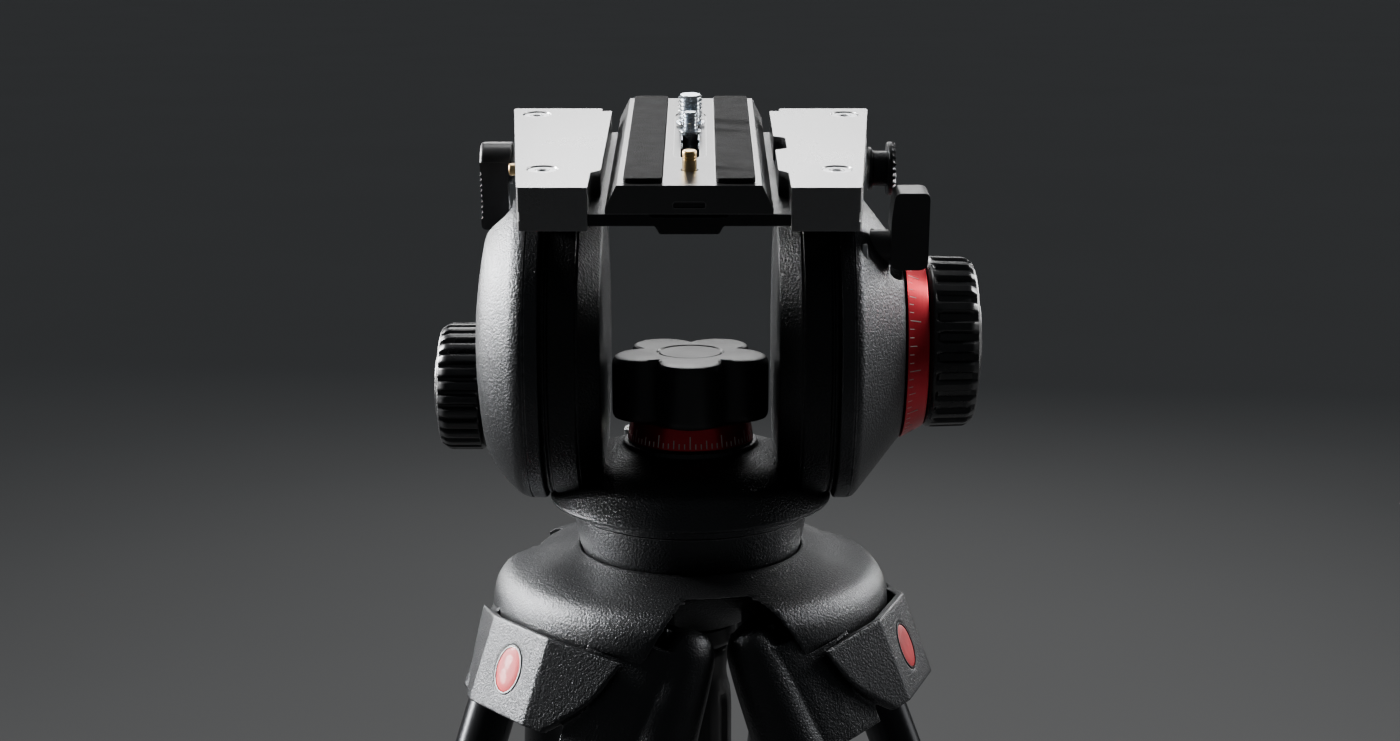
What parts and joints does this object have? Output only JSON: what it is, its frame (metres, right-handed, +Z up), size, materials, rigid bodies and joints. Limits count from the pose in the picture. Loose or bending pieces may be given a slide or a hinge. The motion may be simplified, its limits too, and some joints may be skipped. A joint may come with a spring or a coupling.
{
  "type": "camera tripod with fluid head",
  "caption": "Twin-tube camera tripod with a mid-level spreader and a bridge fluid head: levelling half ball, geared drag rings, counterbalance knob and sliding camera plate.",
  "frame": {"origin": "on the floor, at the centre of the outline seen from above", "axes": "+Z up, +X to the drag knob side, -Y to the front of the platform"},
  "size_m": [0.5628, 0.54, 0.8352],
  "materials": {
    "alloy": "satin black textured casting",
    "plastic": "semi-gloss black plastic",
    "tube": "gloss black anodised tube",
    "rubber": "matt black rubber",
    "steel": "zinc plated",
    "brass": "turned brass",
    "red": "red anodised ring",
    "vial": "level vial"
  },
  "bodies": {
    "tripod_top": {"crown": "alloy", "leg_1_pivot_bolt": "steel", "leg_2_pivot_bolt": "steel", "leg_3_pivot_bolt": "steel"},
    "leg_1": {"leg_1_collar": "alloy", "leg_1_upper_tube_left": "tube", "leg_1_upper_tube_right": "tube", "leg_1_clamp_bracket": "alloy"},
    "leg_1_lever": {"leg_1_clamp_lever": "plastic"},
    "leg_1_lower": {"leg_1_lower_tube_left": "tube", "leg_1_lower_tube_right": "tube", "leg_1_foot_bracket": "alloy", "leg_1_rubber_foot": "rubber"},
    "leg_2": {"leg_2_collar": "alloy", "leg_2_upper_tube_left": "tube", "leg_2_upper_tube_right": "tube", "leg_2_clamp_bracket": "alloy"},
    "leg_2_lever": {"leg_2_clamp_lever": "plastic"},
    "leg_2_lower": {"leg_2_lower_tube_left": "tube", "leg_2_lower_tube_right": "tube", "leg_2_foot_bracket": "alloy", "leg_2_rubber_foot": "rubber"},
    "leg_3": {"leg_3_collar": "alloy", "leg_3_upper_tube_left": "tube", "leg_3_upper_tube_right": "tube", "leg_3_clamp_bracket": "alloy"},
    "leg_3_lever": {"leg_3_clamp_lever": "plastic"},
    "leg_3_lower": {"leg_3_lower_tube_left": "tube", "leg_3_lower_tube_right": "tube", "leg_3_foot_bracket": "alloy", "leg_3_rubber_foot": "rubber"},
    "spreader_hub": {"spreader_hub": "plastic"},
    "spreader_arm_1": {"spreader_arm_1": "alloy"},
    "spreader_arm_2": {"spreader_arm_2": "alloy"},
    "spreader_arm_3": {"spreader_arm_3": "alloy"},
    "levelling_ball": {"half_ball": "alloy", "clamp_dish": "plastic"},
    "bowl_clamp": {"clamp_handle": "plastic"},
    "pan_housing": {"yoke": "alloy", "bubble_level": "vial"},
    "pan_drag": {"pan_drag_ring": "red", "pan_drag_knob": "plastic"},
    "pan_lock": {"pan_lock_lever": "plastic"},
    "tilt_head": {"top_platform": "alloy", "side_housing_left": "alloy", "side_housing_right": "alloy", "tilt_axle_left": "steel", "tilt_axle_right": "steel", "pan_bar_rosette": "alloy"},
    "sliding_plate": {"camera_plate": "alloy", "rubber_strip_left": "rubber", "rubber_strip_right": "rubber", "locating_pin": "brass"},
    "screw_three_eighths": {"camera_screw_three_eighths": "steel"},
    "screw_quarter": {"camera_screw_quarter": "steel"},
    "plate_lock": {"plate_lock_lever": "plastic"},
    "tilt_lock": {"tilt_lock_lever": "plastic"},
    "tilt_drag": {"tilt_drag_knob": "plastic", "tilt_drag_ring": "red"},
    "counterbalance": {"counterbalance_knob": "plastic"}
  },
  "joints": [
    {"name": "leg_1_fold", "type": "hinge", "parent": "tripod_top", "child": "leg_1", "pos_m": [-0.05114, -0.06346, 0.63621], "axis": [0.6428, -0.766, 0], "range_deg": [0, 18]},
    {"name": "leg_1_lever_turn", "type": "hinge", "parent": "leg_1", "child": "leg_1_lever", "pos_m": [-0.21389, -0.20002, 0.15042], "axis": [-0.6428, 0.766, 0], "range_deg": [0, 70]},
    {"name": "leg_1_extend", "type": "slide", "parent": "leg_1", "child": "leg_1_lower", "axis": [-0.287, -0.2408, -0.9272], "range_m": [0, 0.36]},
    {"name": "leg_2_fold", "type": "hinge", "parent": "tripod_top", "child": "leg_2", "pos_m": [0.02391, -0.05022, 0.63621], "axis": [0.342, 0.9397, 0], "range_deg": [0, 18]},
    {"name": "leg_2_lever_turn", "type": "hinge", "parent": "leg_2", "child": "leg_2_lever", "pos_m": [0.22355, -0.12288, 0.15042], "axis": [-0.342, -0.9397, 0], "range_deg": [0, 70]},
    {"name": "leg_2_extend", "type": "slide", "parent": "leg_2", "child": "leg_2_lower", "axis": [0.352, -0.1281, -0.9272], "range_m": [0, 0.36]},
    {"name": "leg_3_fold", "type": "hinge", "parent": "tripod_top", "child": "leg_3", "pos_m": [-0.02508, 0.00816, 0.63621], "axis": [-0.9848, -0.1736, 0], "range_deg": [0, 18]},
    {"name": "leg_3_lever_turn", "type": "hinge", "parent": "leg_3", "child": "leg_3_lever", "pos_m": [-0.06197, 0.21738, 0.15042], "axis": [0.9848, 0.1736, 0], "range_deg": [0, 70]},
    {"name": "leg_3_extend", "type": "slide", "parent": "leg_3", "child": "leg_3_lower", "axis": [-0.065, 0.3689, -0.9272], "range_m": [0, 0.36]},
    {"name": "spreader_rise", "type": "slide", "parent": "tripod_top", "child": "spreader_hub", "axis": [0, 0, 1], "range_m": [0, 0.14184]},
    {"name": "spreader_arm_1_turn", "type": "hinge", "parent": "spreader_hub", "child": "spreader_arm_1", "pos_m": [-0.03429, -0.04931, 0.14129], "axis": [0.6428, -0.766, 0], "range_deg": [0, 66.03]},
    {"name": "spreader_arm_2_turn", "type": "hinge", "parent": "spreader_hub", "child": "spreader_arm_2", "pos_m": [0.00324, -0.0427, 0.14129], "axis": [0.342, 0.9397, 0], "range_deg": [0, 66.03]},
    {"name": "spreader_arm_3_turn", "type": "hinge", "parent": "spreader_hub", "child": "spreader_arm_3", "pos_m": [-0.02126, -0.01351, 0.14129], "axis": [-0.9848, -0.1736, 0], "range_deg": [0, 66.03]},
    {"name": "bowl_levelling", "type": "hinge", "parent": "tripod_top", "child": "levelling_ball", "pos_m": [-0.01744, -0.03517, 0.67521], "axis": [1, 0, 0], "range_deg": [-5, 5]},
    {"name": "bowl_clamp_turn", "type": "hinge", "parent": "levelling_ball", "child": "bowl_clamp", "pos_m": [-0.01744, -0.03517, 0.6012], "axis": [0, 0, 1], "continuous": true},
    {"name": "pan", "type": "hinge", "parent": "levelling_ball", "child": "pan_housing", "pos_m": [-0.01744, -0.03517, 0.6812], "axis": [0, 0, 1], "continuous": true},
    {"name": "pan_drag_turn", "type": "hinge", "parent": "pan_housing", "child": "pan_drag", "pos_m": [-0.01744, -0.03517, 0.7212], "axis": [0, 0, 1], "range_deg": [-135, 135]},
    {"name": "pan_lock_turn", "type": "hinge", "parent": "pan_housing", "child": "pan_lock", "pos_m": [-0.01744, 0.01483, 0.68871], "axis": [0, 1, 0], "range_deg": [-45, 45]},
    {"name": "tilt", "type": "hinge", "parent": "pan_housing", "child": "tilt_head", "pos_m": [-0.01744, -0.03517, 0.74121], "axis": [1, 0, 0], "range_deg": [-80, 70]},
    {"name": "plate_slide", "type": "slide", "parent": "tilt_head", "child": "sliding_plate", "axis": [0, 0.9929, 0.1191], "range_m": [-0.045, 0.045]},
    {"name": "screw_three_eighths_slide", "type": "slide", "parent": "sliding_plate", "child": "screw_three_eighths", "axis": [0, 0.9929, 0.1191], "range_m": [0, 0.016]},
    {"name": "screw_quarter_slide", "type": "slide", "parent": "sliding_plate", "child": "screw_quarter", "axis": [0, 0.9929, 0.1191], "range_m": [-0.037, 0]},
    {"name": "plate_lock_turn", "type": "hinge", "parent": "tilt_head", "child": "plate_lock", "pos_m": [-0.08844, -0.03434, 0.80979], "axis": [1, 0, 0], "range_deg": [-60, 0]},
    {"name": "tilt_lock_turn", "type": "hinge", "parent": "tilt_head", "child": "tilt_lock", "pos_m": [0.05756, -0.06015, 0.78152], "axis": [1, 0, 0], "range_deg": [-15, 45]},
    {"name": "tilt_drag_turn", "type": "hinge", "parent": "tilt_head", "child": "tilt_drag", "pos_m": [0.07756, -0.03517, 0.74121], "axis": [1, 0, 0], "range_deg": [-135, 135]},
    {"name": "counterbalance_turn", "type": "hinge", "parent": "tilt_head", "child": "counterbalance", "pos_m": [-0.10544, -0.03299, 0.72303], "axis": [1, 0, 0], "range_deg": [-135, 135]}
  ],
  "couplings": [
    {"joint": "leg_2_fold", "follows": "leg_1_fold", "ratio": 1},
    {"joint": "leg_3_fold", "follows": "leg_1_fold", "ratio": 1},
    {"joint": "spreader_rise", "follows": "leg_1_fold", "m_per_rad": 0.45058},
    {"joint": "spreader_arm_1_turn", "follows": "leg_1_fold", "ratio": 3.6611},
    {"joint": "spreader_arm_2_turn", "follows": "leg_1_fold", "ratio": 3.6611},
    {"joint": "spreader_arm_3_turn", "follows": "leg_1_fold", "ratio": 3.6611}
  ]
}
